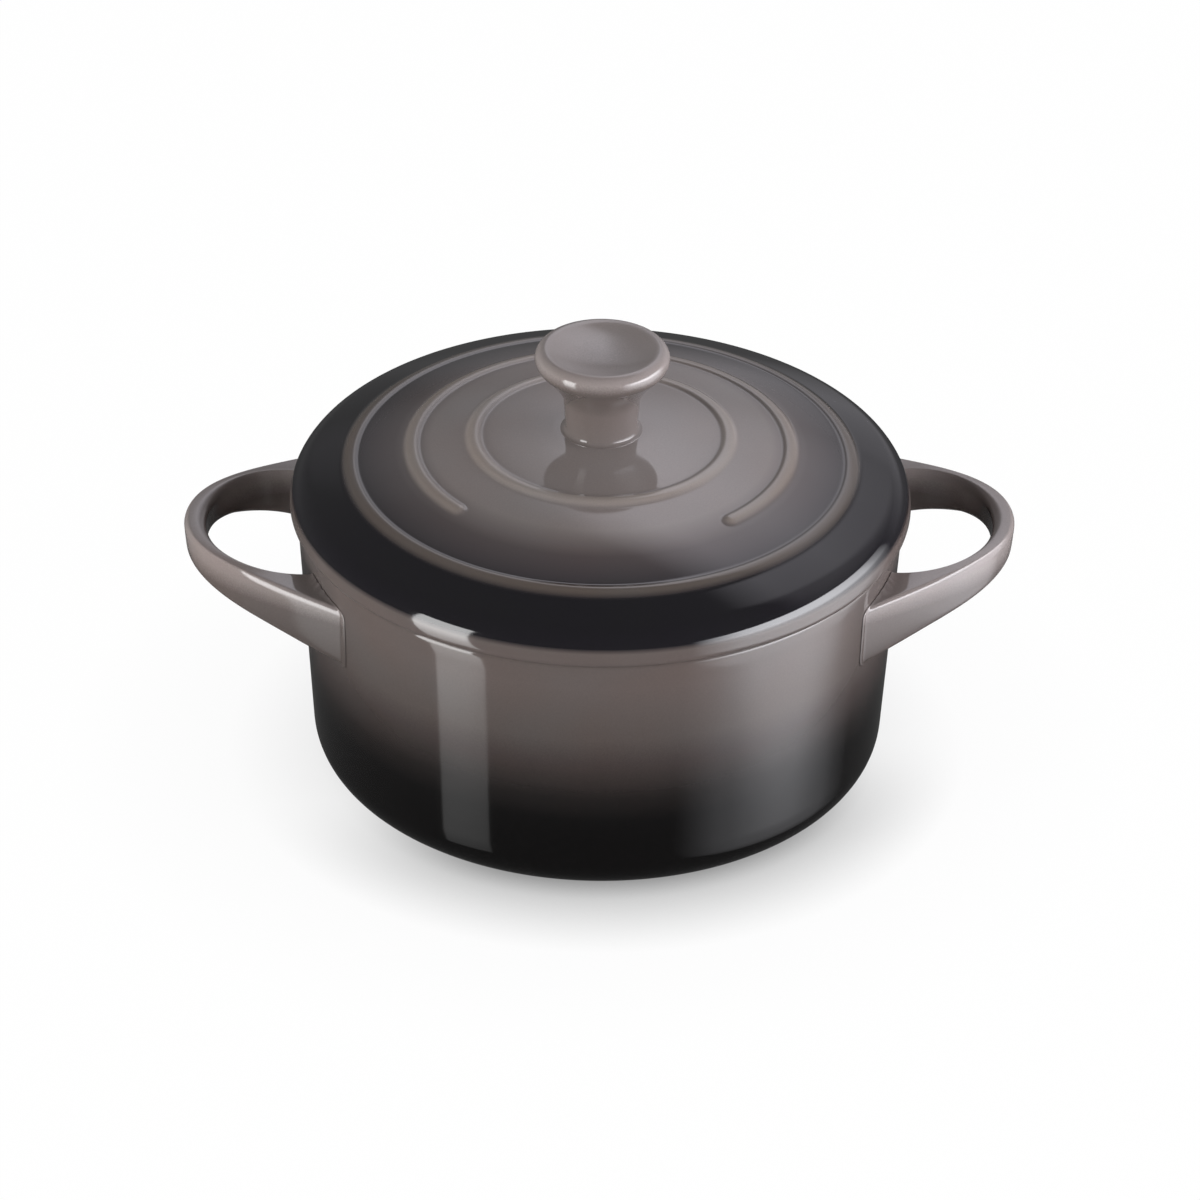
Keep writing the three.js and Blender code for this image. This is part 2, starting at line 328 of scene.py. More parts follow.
@dataclass(frozen=True)
class Glaze:
    """A gloss stoneware glaze, sprayed on in one colour that fades into another.

    Attributes:
        name: Name of the material.
        stops: Places along the fade, in metres, and the glaze's colour there.
        fade: What the fade follows.
        thin_stops: The same for the colour on raised lines, where the glaze runs thin.
        band: Height below which the glaze is thin too, and its colour there.
        plain: Colour of the glaze that does not fade, where a piece is marked as its inside; in a
            handle's finger hole, painted shade.
        bare: Height below which the clay is left bare.
        roughness: Roughness of the fired surface.
        spray: How far the sprayed droplets scatter across the fade.
        droplet: Size of those droplets.
        ripple: Length of the slow waves in the fired surface.
    """

    name: str
    stops: Stops
    fade: Fade = Fade.HEIGHT
    thin_stops: Stops | None = None
    band: tuple[float, str] | None = None
    plain: str | None = None
    bare: float | None = None
    roughness: float = 0.07
    spray: float = 0.5 * MM
    droplet: float = 0.25 * MM
    ripple: float = 9 * MM

    def material(self) -> bpy.types.Material:
        """Builds the material.

        Returns:
            A new material with procedural nodes.
        """
        material = bpy.data.materials.new(self.name)
        material.use_nodes = True
        tree = material.node_tree
        tree.nodes.clear()
        place = add_node(tree, "TexCoord").outputs["Object"]
        ripple = add_node(tree, "TexNoise", {"Vector": place, "Scale": 1 / self.ripple, "Detail": 1.0})
        # A fired glaze is never quite flat: a slow ripple bends the edges of what it mirrors
        normal = add_node(
            tree, "Bump", {"Height": ripple.outputs["Fac"], "Strength": 1.0, "Distance": RIPPLE_HEIGHT}
        )
        shader = add_node(
            tree,
            "BsdfPrincipled",
            {
                "Base Color": self.colour(tree, place),
                "Normal": normal.outputs[0],
                "Roughness": self.roughness,
                "IOR": GLAZE_IOR,
            },
        ).outputs[0]
        if self.bare:
            shader = self.with_bare_clay(tree, place, shader)
        add_node(tree, "OutputMaterial", {"Surface": shader})
        return material

    def with_bare_clay(
        self, tree: bpy.types.NodeTree, place: bpy.types.NodeSocket, glaze: bpy.types.NodeSocket
    ) -> bpy.types.NodeSocket:
        """Adds bare clay below a height.

        Args:
            tree: The node tree.
            place: Socket with the object coordinates.
            glaze: Socket with the glaze's shader.

        Returns:
            The socket with both shaders.
        """
        # A foot is wiped clean of glaze before firing, so that the pot does not stick to the kiln shelf
        look = {"Base Color": linear(CLAY_COLOUR), "Roughness": CLAY_ROUGHNESS}
        clay = add_node(tree, "BsdfPrincipled", look)
        height = add_node(tree, "SeparateXYZ", {"Vector": place}).outputs["Z"]
        below = add_node(tree, "Math", {0: height, 1: self.bare}, operation="LESS_THAN")
        return add_node(tree, "MixShader", {0: below.outputs[0], 1: glaze, 2: clay.outputs[0]}).outputs[0]

    def colour(self, tree: bpy.types.NodeTree, place: bpy.types.NodeSocket) -> bpy.types.NodeSocket:
        """Adds the nodes of the glaze's colour.

        Args:
            tree: The node tree.
            place: Socket with the object coordinates.

        Returns:
            The socket with the colour.
        """
        parts = add_node(tree, "SeparateXYZ", {"Vector": place}).outputs
        flat = add_node(tree, "CombineXYZ", {"X": parts["X"], "Y": parts["Y"]}).outputs[0]
        radius = add_node(tree, "VectorMath", {0: flat}, operation="LENGTH").outputs["Value"]
        # The spray lands as fine droplets, so the fade looks grainy up close
        grain = add_node(tree, "TexNoise", {"Vector": place, "Scale": 1 / self.droplet, "Detail": 2.0})
        scatter = add_node(
            tree, "MapRange", {"Value": grain.outputs["Fac"], "To Min": -self.spray, "To Max": self.spray}
        ).outputs[0]
        heights = add_node(tree, "Math", {0: parts["Z"], 1: scatter}, operation="ADD").outputs[0]
        radii = add_node(tree, "Math", {0: radius, 1: scatter}, operation="ADD").outputs[0]
        along = radii if self.fade is Fade.RADIUS else heights
        colour = add_ramp(tree, along, self.stops)
        if self.thin_stops:
            # On raised lines the glaze runs thin, and the pale clay warms its colour
            colour = mixed(tree, marked(tree, "thin"), colour, add_ramp(tree, along, self.thin_stops))
        if self.band:
            height, code = self.band
            blur = {"From Min": height + BAND_BLUR, "From Max": height - BAND_BLUR}
            below = add_node(tree, "MapRange", {"Value": parts["Z"], **blur}).outputs[0]
            colour = mixed(tree, below, colour, linear(code))
        # The plain inside glaze of pot and lid; on a handle this mark is painted shade in the finger
        # hole, darkest at the tip
        if self.plain:
            colour = mixed(tree, marked(tree, "inside"), colour, linear(self.plain))
        return self.speckled(tree, place, grain.outputs["Fac"], colour)

    def speckled(
        self,
        tree: bpy.types.NodeTree,
        place: bpy.types.NodeSocket,
        grain: bpy.types.NodeSocket,
        colour: bpy.types.NodeSocket,
    ) -> bpy.types.NodeSocket:
        """Adds the fine speckle of the glaze and the slow drift of its warmth.

        Args:
            tree: The node tree.
            place: Socket with the object coordinates.
            grain: Socket with the noise of the droplets.
            colour: Socket with the even colour.

        Returns:
            The socket with the speckled colour.
        """
        drift = add_node(tree, "TexNoise", {"Vector": place, "Scale": 1 / WARMTH_LENGTH, "Detail": 1.0})
        warmth, light = (
            add_node(tree, "MapRange", {"Value": noise, "To Min": 1 - swing, "To Max": 1 + swing})
            for noise, swing in ((drift.outputs["Fac"], WARMTH_SWING), (grain, SPECKLE_SWING))
        )
        changes = {"Saturation": warmth.outputs[0], "Value": light.outputs[0], "Color": colour}
        return add_node(tree, "HueSaturation", changes).outputs[0]


# Pieces


class Piece(ABC):
    """One piece of the object, which stands for one CAD node."""

    node: str
    body: str
    slot: str
    glaze: Glaze

    @abstractmethod
    def build(self) -> bpy.types.Object:
        """Models the piece in place and returns it."""

    def dress(self, piece: bpy.types.Object) -> None:
        """Gives the piece its finish."""
        piece.data.materials.clear()
        piece.data.materials.append(self.glaze.material())

    def add(self) -> None:
        """Builds and dresses the piece and sets it on its CAD body."""
        piece = self.build()
        self.dress(piece)
        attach(piece, self.body)
        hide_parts(self.node)
        log.info("%s: %d faces", piece.name, len(piece.data.polygons))


@dataclass
class Pot(Piece):
    """The round pot with its leaning wall, flat rim and foot ring."""

    node: str = "pot"
    body: str = "pot_body"
    slot: str = "pot_glaze"
    rim_radius: float = 50 * MM
    rim_height: float = 46.7 * MM
    lean: float = math.radians(3.3)
    wall: float = 5 * MM
    floor: float = 5 * MM
    corner: float = 7 * MM
    inner_corner: float = 8 * MM
    rim_round: float = 1 * MM
    foot_height: float = 0.6 * MM
    foot_width: float = 4 * MM
    foot_bevel: float = 0.4 * MM
    foot_recess: float = 1.4 * MM
    steps: int = 192
    arc_steps: int = 14
    glaze: Glaze = field(
        default=Glaze(
            "gloss stoneware glaze, taupe fading to black",
            (
                (12 * MM, "#0a0909"),
                (16 * MM, "#0d0c0c"),
                (20.5 * MM, "#1f1c1b"),
                (27.5 * MM, "#3f3836"),
                (32 * MM, "#504946"),
                (42 * MM, "#5d5552"),
            ),
            plain="#7c7471",
            bare=0.3 * MM,
        )
    )

    def wall_radius(self, height: float) -> float:
        """Outside radius of the wall at a height."""
        return self.rim_radius - (self.rim_height - height) * math.tan(self.lean)

    def corner_centre(self, radius: float, floor: float, inset: float) -> tuple[float, float]:
        """Centre of an arc that touches the leaning wall and a level floor."""
        height = floor + radius
        return self.wall_radius(height) - inset - radius / math.cos(self.lean), height

    def outside(self, swollen: float = 0.0) -> Outline:
        """Outline from the underside to the rim, swollen by a small amount."""
        x, y = self.corner_centre(self.corner, self.foot_height, 0)
        lip, few = self.rim_round, self.arc_steps // 2
        edge = self.rim_radius - lip
        return [
            *arc(x, y, self.corner + swollen, -QUARTER, -self.lean, self.arc_steps),
            *arc(edge, self.rim_height - lip, lip + swollen, -self.lean, QUARTER, few),
        ]

    def build(self) -> bpy.types.Object:
        """Turns the pot's section.

        Returns:
            The pot.
        """
        floor = self.foot_height + self.floor
        foot = self.corner_centre(self.corner, self.foot_height, 0)[0]
        foot_inner = foot - self.foot_width
        x, y = self.corner_centre(self.inner_corner, floor, self.wall)
        lip, few = self.rim_round, self.arc_steps // 2
        inside = self.rim_radius - self.wall + lip
        outline = [
            (0.0, self.foot_recess),
            (foot_inner - self.foot_recess, self.foot_recess),
            (foot_inner, 0.0),
            (foot - self.foot_bevel, 0.0),
            (foot, self.foot_bevel),
            *self.outside(),
            *arc(inside, self.rim_height - lip, lip, QUARTER, math.pi - self.lean, few),
            *arc(x, y, self.inner_corner, -self.lean, -QUARTER, self.arc_steps),
            (0.0, floor),
        ]
        pot = turned("glazed_pot", with_supports(outline, LONGEST_RUN), self.steps)
        keep_attribute(pot, "inside", [self.inside(vertex.co) for vertex in pot.data.vertices])
        return pot

    def inside(self, at: Vector) -> float:
        """1 on the inside of the pot, and 0 on its outside and underside."""
        within = math.hypot(at.x, at.y) < self.wall_radius(at.z) - self.wall / 2
        return float(within and at.z > self.foot_recess + self.floor / 4)


@dataclass
class Lid(Piece):
    """The domed lid with its rounded edge, three raised rings and locating flange."""

    pot: Pot
    node: str = "lid"
    body: str = "lid_body"
    slot: str = "lid_glaze"
    overhang: float = 1.245 * MM
    height: float = 14.6 * MM
    edge_round: float = 5.2 * MM
    undercut: float = 1.4 * MM
    wall: float = 5 * MM
    flange_depth: float = 3.6 * MM
    flange_width: float = 3.6 * MM
    flange_clearance: float = 0.9 * MM
    flange_round: float = 1 * MM
    brim: float = 9.9 * MM
    ring_pitch: float = 10.15 * MM
    ring_width: float = 3 * MM
    ring_relief: float = 0.45 * MM
    ring_gap: float = math.radians(90)
    ring_step: float = 0.3 * MM
    skin: float = 1 * MM
    turn: float = math.radians(-4.4)
    seat_radius: float = 7.7 * MM
    steps: int = 360
    arc_steps: int = 10
    glaze: Glaze = field(
        default=Glaze(
            "gloss stoneware glaze, black fading to taupe",
            (
                (10 * MM, "#8a827f"),
                (28 * MM, "#817976"),
                (34 * MM, "#524b4b"),
                (39 * MM, "#3d393b"),
                (43 * MM, "#131116"),
            ),
            Fade.RADIUS,
            thin_stops=((21 * MM, "#958c86"), (32 * MM, "#857b74"), (42 * MM, "#58504b")),
            band=(49.9 * MM, "#5d5552"),
            plain="#7c7471",
        )
    )

    @property
    def radius(self) -> float:
        """Outside radius of the lid."""
        return self.pot.rim_radius + self.overhang

    @property
    def edge_centre(self) -> tuple[float, float]:
        """Centre of the edge's top rounding, as radius and height."""
        return self.radius - self.edge_round, self.pot.rim_height + self.undercut

    @property
    def dome_radius(self) -> float:
        """Radius of the sphere that the edge's rounding runs into without a crease."""
        foot, rise = self.edge_centre[0], self.height - self.undercut
        return (foot**2 + rise**2 - self.edge_round**2) / (2 * (rise - self.edge_round))

    def dome_height(self, radius: float, inset: float = 0.0) -> float:
        """Height of the dome at a radius from the axis."""
        centre = self.pot.rim_height + self.height - self.dome_radius
        return centre + math.sqrt((self.dome_radius - inset) ** 2 - radius**2)

    def inside(self, at: Vector) -> float:
        """1 on the underside of the lid, and 0 on its top and edge."""
        radius = math.hypot(at.x, at.y)
        return float(radius < self.pot.rim_radius and at.z < self.dome_height(radius) - self.wall / 2)

    @property
    def rings(self) -> tuple[float, float, float]:
        """Radii of the outer, middle and inner ring."""
        outer = self.radius - self.brim
        return outer, outer - self.ring_pitch, outer - 2 * self.ring_pitch

    def dome(self, start: float, end: float, inset: float, step: float) -> Outline:
        """Outline of the dome between two radii."""
        count = math.ceil(abs(end - start) / step)
        radii = [start + (end - start) * i / count for i in range(count + 1)]
        return [(r, self.dome_height(r, inset)) for r in radii]

    def from_ring(self, at: Vector) -> float:
        """Distance of a point of the lid's top from the middle of the nearest raised ring."""
        radius = math.hypot(at.x, at.y)
        outer, middle, inner = self.rings
        angle = abs((math.atan2(at.x, -at.y) - self.turn + math.pi) % (2 * math.pi) - math.pi)
        past_end = max(0.0, (self.ring_gap / 2 - angle) * middle)
        return min(abs(radius - outer), abs(radius - inner), math.hypot(radius - middle, past_end))

    def on_top(self, at: Vector) -> bool:
        """Whether a point belongs to the skin of the lid's top."""
        return at.z > self.dome_height(math.hypot(at.x, at.y)) - self.skin

    def crest(self, at: Vector) -> float:
        """How far up a raised ring a point is, from 0 to 1."""
        return ridge(self.from_ring(at), self.ring_width / 2) if self.on_top(at) else 0.0

    def build(self) -> bpy.types.Object:
        """Turns the lid's section and raises its rings.

        Returns:
            The lid.
        """
        rim, arcs = self.pot.rim_height, self.arc_steps
        flange = self.pot.rim_radius - self.pot.wall - self.flange_clearance
        flange_inner = flange - self.flange_width
        foot = rim - self.flange_depth + self.flange_round
        soft, under = self.flange_round, self.undercut
        x, y = self.edge_centre
        sweep = math.acos(x / (self.dome_radius - self.edge_round))
        dome_foot = x + self.edge_round * math.cos(sweep)
        outline = [
            *self.dome(0.0, flange_inner, self.wall, LONGEST_RUN),
            *arc(flange_inner + soft, foot, soft, math.pi, 3 * QUARTER, arcs // 2),
            *arc(flange - soft, foot, soft, -QUARTER, 0, arcs // 2),
            (flange, rim),
            *arc(self.radius - under, rim + under, under, -QUARTER, 0, arcs),
            *arc(x, y, self.edge_round, 0, sweep, 2 * arcs)[1:],
            *self.dome(dome_foot, self.seat_radius, 0.0, self.ring_step)[1:],
            (0.0, self.dome_height(self.seat_radius)),
        ]
        lid = turned("glazed_lid", with_supports(outline, LONGEST_RUN), self.steps)
        marks = {
            name: [share(vertex.co) for vertex in lid.data.vertices]
            for name, share in (("inside", self.inside), ("thin", self.crest))
        }
        swell(lid, self.crest, self.ring_relief, "Z")
        for name, values in marks.items():
            keep_attribute(lid, name, values)
        return lid


@dataclass
class Knob(Piece):
    """The mushroom knob with its dished top."""

    lid: Lid
    node: str = "knob"
    body: str = "lid_body"
    slot: str = "knob_glaze"
    height: float = 15.1 * MM
    radius: float = 11.05 * MM
    edge_round: float = 1.8 * MM
    belly_round: float = 2.4 * MM
    belly_sweep: float = math.radians(45)
    depth: float = 8 * MM
    dish: float = 1.4 * MM
    stem: float = 5.95 * MM
    flare: float = 0.3 * MM
    fillet: float = 0.8 * MM
    steps: int = 144
    arc_steps: int = 12
    glaze: Glaze = field(
        default=Glaze(
            "gloss stoneware glaze, taupe",
            # Darker under the head and round its widest edge than on the top: painted shade on the knob's
            # sides
            ((62 * MM, "#726a67"), (73.5 * MM, "#665e5b"), (75.2 * MM, "#918885")),
        )
    )

    def underside(self, widest: float, start: tuple[float, float]) -> Outline:
        """Outline of the curve from the stem out to the rounding under the knob's edge.

        Args:
            widest: Height of the knob's widest part.
            start: Lower end of that rounding.

        Returns:
            The points, from the stem outwards.
        """
        neck = self.stem + self.flare
        bend = start[1] - (start[0] - neck) / math.tan(self.belly_sweep)
        points = []
        for i in range(self.arc_steps + 1):
            t = i / self.arc_steps
            low, middle, high = (1 - t) ** 2, 2 * t * (1 - t), t * t
            points.append(
                (
                    (low + middle) * neck + high * start[0],
                    low * (widest - self.depth) + middle * bend + high * start[1],
                )
            )
        return points

    def build(self) -> bpy.types.Object:
        """Turns the knob's section.

        Returns:
            The knob.
        """
        seat = self.lid.dome_height(self.lid.seat_radius)
        crest = self.radius - self.edge_round
        widest = seat + self.height - self.edge_round
        foot = self.stem + self.fillet
        bowl = (crest**2 + self.dish**2) / (2 * self.dish)
        bowl_centre = seat + self.height - self.dish + bowl
        lean = math.asin(crest / bowl)
        arcs = self.arc_steps
        belly = arc(self.radius - self.belly_round, widest, self.belly_round, -self.belly_sweep, 0, arcs)
        outline = [
            (0.0, seat),
            *arc(foot, seat + self.fillet, self.fillet, 3 * QUARTER, 2 * QUARTER, arcs // 2),
            *self.underside(widest, belly[0]),
            *belly[1:],
            *arc(crest, widest, self.edge_round, 0, QUARTER, arcs)[1:],
            *arc(0.0, bowl_centre, bowl, lean - QUARTER, -QUARTER, arcs)[1:],
        ]
        return turned("glazed_knob", with_supports(outline, LONGEST_RUN / 2), self.steps)


@dataclass
class Handle(Piece):
    """A loop handle, lofted round its oval finger hole and stuck to the wall with slip."""

    pot: Pot
    side: Side
    body: str = "pot_body"
    slot: str = "handle_glaze"
    reach: float = 18.86 * MM
    spread: float = 27 * MM
    root_depth: float = 0.7 * MM
    arm_angle: float = math.radians(26.9)
    arm_run: float = 20.5 * MM
    bulge: float = 10.5 * MM
    tip_thickness: float = 3.9 * MM
    hole_length: float = 26.7 * MM
    hole_width: float = 32.5 * MM
    hole_sweep: float = math.radians(145)
    drop: float = 5 * MM
    lift: float = 2.9 * MM
    crown: float = 0.75
    root_height: float = 11.2 * MM
    tip_height: float = 5.7 * MM
    belly: float = 1.1
    face_lean: float = math.radians(5)
    crease_round: float = 0.9 * MM
    crease_drop: float = 1.3 * MM
    finger_round: float = 1.8 * MM
    lower_round: float = 1.2 * MM
    fillet: float = 0.4 * MM
    joint: float = 0.12 * MM
    # Width of the painted shade off the finger hole's side, and how fast it gathers towards the tip
    painted_shade_edge: float = 0.5 * MM
    painted_shade_gather: float = 6
    sections: int = 30
    root_crowding: float = 1.5
    corner_steps: int = 4
    smoothing: int = 2
    glaze: Glaze = field(
        default=Glaze(
            "gloss stoneware glaze, taupe handle",
            ((31 * MM, "#4d4643"), (39 * MM, "#5d5552"), (42 * MM, "#857c79"), (45 * MM, "#8f8683")),
            # Painted shade for the finger hole, where the pot and lid keep the light off
            plain="#342b28",
        )
    )

    @property
    def node(self) -> str:
        """The CAD node that this handle stands for."""
        return "handle_right" if self.side is Side.RIGHT else "handle_left"

    def outer(self, t: float) -> Vector:
        """Outer edge of half a loop in plan, from the root of the arm at 0 to the tip at 1."""
        sunk = self.pot.wall_radius(self.pot.rim_height - self.drop) - self.root_depth
        root = Vector((math.sqrt(sunk**2 - self.spread**2), self.spread, 0))
        arm = Vector((math.cos(self.arm_angle), -math.sin(self.arm_angle), 0)) * self.arm_run
        tip = Vector((self.pot.rim_radius + self.reach, 0, 0))
        bend = tip + Vector((0, self.bulge, 0))
        s = 1 - t
        return root * s**3 + (root + arm) * 3 * s * s * t + bend * 3 * s * t * t + tip * t**3

    def inner(self, t: float) -> Vector:
        """Edge of the finger hole in plan, from inside the wall at 0 to the tip at 1."""
        middle = self.pot.rim_radius + self.reach - self.tip_thickness - self.hole_length / 2
        angle = self.hole_sweep * (1 - t)
        return Vector(
            (middle + self.hole_length / 2 * math.cos(angle), self.hole_width / 2 * math.sin(angle), 0)
        )

    def heights(self, t: float) -> tuple[float, float]:
        """Lower and upper edge of the loop, from the root at 0 to the tip at 1."""
        root, here, tip = (self.outer(place).x for place in (0, t, 1))
        share = (here - root) / (tip - root)
        root_top = self.pot.rim_height - self.drop
        low_root = root_top - self.root_height
        low_tip = root_top + self.lift - self.tip_height
        low = low_root + (low_tip - low_root) * share**self.belly
        return low, root_top + self.lift * share**self.crown

    def section(self, t: float) -> list[Vector]:
        """Points round one upright section, whose corners are rounded each in its own way.

        Args:
            t: Place along the arm, from the root at 0 to the tip at 1.

        Returns:
            The points, from the lower edge on the outside round to the lower edge in the finger hole.
        """
        outer, inner = self.outer(t), self.inner(t)
        low, top = self.heights(t)
        outward = (outer - inner).normalized()
        width = (outer - inner).length
        lean, finger, foot = self.face_lean, self.finger_round, low + self.lower_round

        def under_face(height: float, radius: float) -> float:
            """Where a rounding at a height has its middle, so that it touches the leaning outside."""
            return width - ((top - height) * math.sin(lean) + radius) / math.cos(lean)

        steps, crease = self.corner_steps, top - self.crease_drop
        middle = under_face(crease, self.crease_round)
        stretch = self.crease_drop / self.crease_round
        outline = [
            *arc(under_face(foot, self.lower_round), foot, self.lower_round, -QUARTER, -lean, steps),
            *(
                (middle + x, crease + y * stretch)
                for x, y in arc(0, 0, self.crease_round, 0, QUARTER, 2 * steps)
            ),
            *arc(finger, top - finger, finger, QUARTER, 2 * QUARTER, steps),
            *arc(self.lower_round, foot, self.lower_round, 2 * QUARTER, 3 * QUARTER, steps),
        ]
        return [inner + outward * x + Vector((0, 0, y)) for x, y in outline]

    def inside(self, at: Vector) -> float:
        """Share of painted shade on the side of the finger hole, from 0 at the wall to 1 at the tip."""
        wall, tip = self.pot.rim_radius, self.pot.rim_radius + self.reach - self.tip_thickness
        length, width = self.hole_length / 2, self.hole_width / 2
        off = math.hypot((abs(at.x) - tip + length) / length, at.y / width) - 1
        on_side = min(1.0, max(0.0, 1 - off * length / self.painted_shade_edge))
        outwards = min(1.0, max(0.0, (abs(at.x) - wall) / (tip - wall)))
        return on_side * outwards**self.painted_shade_gather

    def wall_gap(self, at: Vector) -> float:
        """Distance of a point from the outside of the pot's wall."""
        return math.hypot(at.x, at.y) - self.pot.wall_radius(at.z)

    def root_fillet(self, at: Vector) -> float:
        """How far the slip of the joint has spread at a point, from 0 away from the wall to 1 at it."""
        share = min(1.0, max(0.0, 1 - self.wall_gap(at) / self.fillet))
        return 1 - math.sqrt(1 - share**2)

    def build(self) -> bpy.types.Object:
        """Lofts half the loop, mirrors it and cuts it to the wall.

        Returns:
            The handle.
        """
        handle = start_piece(f"glazed_{self.node}")
        for i in range(self.sections):
            draw_line(self.section((i / (self.sections - 1)) ** self.root_crowding))
            bpy.ops.mesh.edge_face_add()
        bpy.ops.mesh.select_all(action="SELECT")
        bpy.ops.mesh.delete(type="ONLY_FACE")
        bpy.ops.mesh.select_all(action="SELECT")
        bpy.ops.mesh.bridge_edge_loops()
        bpy.ops.object.mode_set(mode="OBJECT")
        apply_modifier(handle, "MIRROR", use_axis=(False, True, False), merge_threshold=MIRROR_WELD)
        bpy.ops.object.mode_set(mode="EDIT")
        bpy.ops.mesh.select_all(action="SELECT")
        bpy.ops.mesh.fill_holes(sides=0)
        tidy_mesh()
        if self.side is Side.LEFT:
            bpy.ops.transform.rotate(value=math.pi, orient_axis="Z", center_override=(0, 0, 0))
        bpy.ops.object.mode_set(mode="OBJECT")
        apply_modifier(handle, "SUBSURF", levels=self.smoothing)
        swell(handle, self.root_fillet, self.fillet, "NORMAL")
        self.cut_to_wall(handle)
        # Painted shade on the finger-hole side of the loop, darkest at the tip
        keep_attribute(handle, "inside", [self.inside(vertex.co) for vertex in handle.data.vertices])
        return handle

    def cut_to_wall(self, handle: bpy.types.Object) -> None:
        """Takes off what of the handle reaches into the wall, down to the fine line of the joint."""
        ends = [(0.0, self.pot.foot_height), (0.0, self.pot.rim_height)]
        wall = turned("wall", [ends[0], *self.pot.outside(self.joint), ends[1]], self.pot.steps)
        apply_modifier(handle, "BOOLEAN", operation="DIFFERENCE", object=wall, solver="MANIFOLD")
        bpy.data.objects.remove(wall)
        bpy.ops.object.select_all(action="DESELECT")
        handle.select_set(True)
        bpy.ops.object.shade_smooth_by_angle(angle=SMOOTH_ANGLE)


# Studio


@dataclass(frozen=True)
class SoftBox:
    """A flat soft box that stands upright round the pot.

    Attributes:
        name: Name of the lamp.
        azimuth: Its two upright edges, as angles in degrees from the camera's side round to the right.
        heights: Its lower and upper edge.
        distance: Distance from the pot.
        radiance: Brightness of its face.
        upward: Places up its face, as shares of its height, and the share of its brightness there.
        across: The same across its face, from its first upright edge.
        tint: Colour of its light.
        mirrored: Whether the glaze mirrors it.
    """

    name: str
    azimuth: tuple[float, float]
    heights: tuple[float, float]
    distance: float
    radiance: float
    upward: Shares = EVEN
    across: Shares = EVEN
    tint: str = WHITE
    mirrored: bool = True

    def add(self) -> None:
        """Adds the lamp, facing the pot."""
        start, end = (math.radians(a) for a in self.azimuth)
        turn = (start + end) / 2
        width = 2 * self.distance * math.tan((end - start) / 2)
        low, high = self.heights
        place = Vector((math.sin(turn), -math.cos(turn), 0)) * self.distance
        place.z = (low + high) / 2
        bpy.ops.object.light_add(type="AREA", location=place, rotation=(QUARTER, 0, turn))
        lamp = bpy.context.object
        lamp.name = self.name
        lamp.visible_camera = False
        lamp.visible_glossy = self.mirrored
        lamp.data.shape = "RECTANGLE"
        lamp.data.size, lamp.data.size_y = width, high - low
        lamp.data.energy = AREA_LAMP_FACTOR * self.radiance * width * (high - low)
        lamp.data.color = linear(self.tint)[:3]
        self.shade(lamp.data)

    def shade(self, lamp: bpy.types.Light) -> None:
        """Gives the lamp's face its fading ends."""
        lamp.use_nodes = True
        tree = lamp.node_tree
        tree.nodes.clear()
        face = add_node(tree, "NewGeometry").outputs["Parametric"]
        places = add_node(tree, "SeparateXYZ", {"Vector": face}).outputs
        shares = [
            add_ramp(tree, places[axis], tuple((at, grey(light)) for at, light in stops))
            for axis, stops in (("Y", self.upward), ("X", self.across))
        ]
        light = add_node(tree, "VectorMath", {0: shares[0], 1: shares[1]}, operation="MULTIPLY")
        glow = add_node(tree, "Emission", {"Color": light.outputs[0]})
        add_node(tree, "OutputLight", {"Surface": glow.outputs[0]})


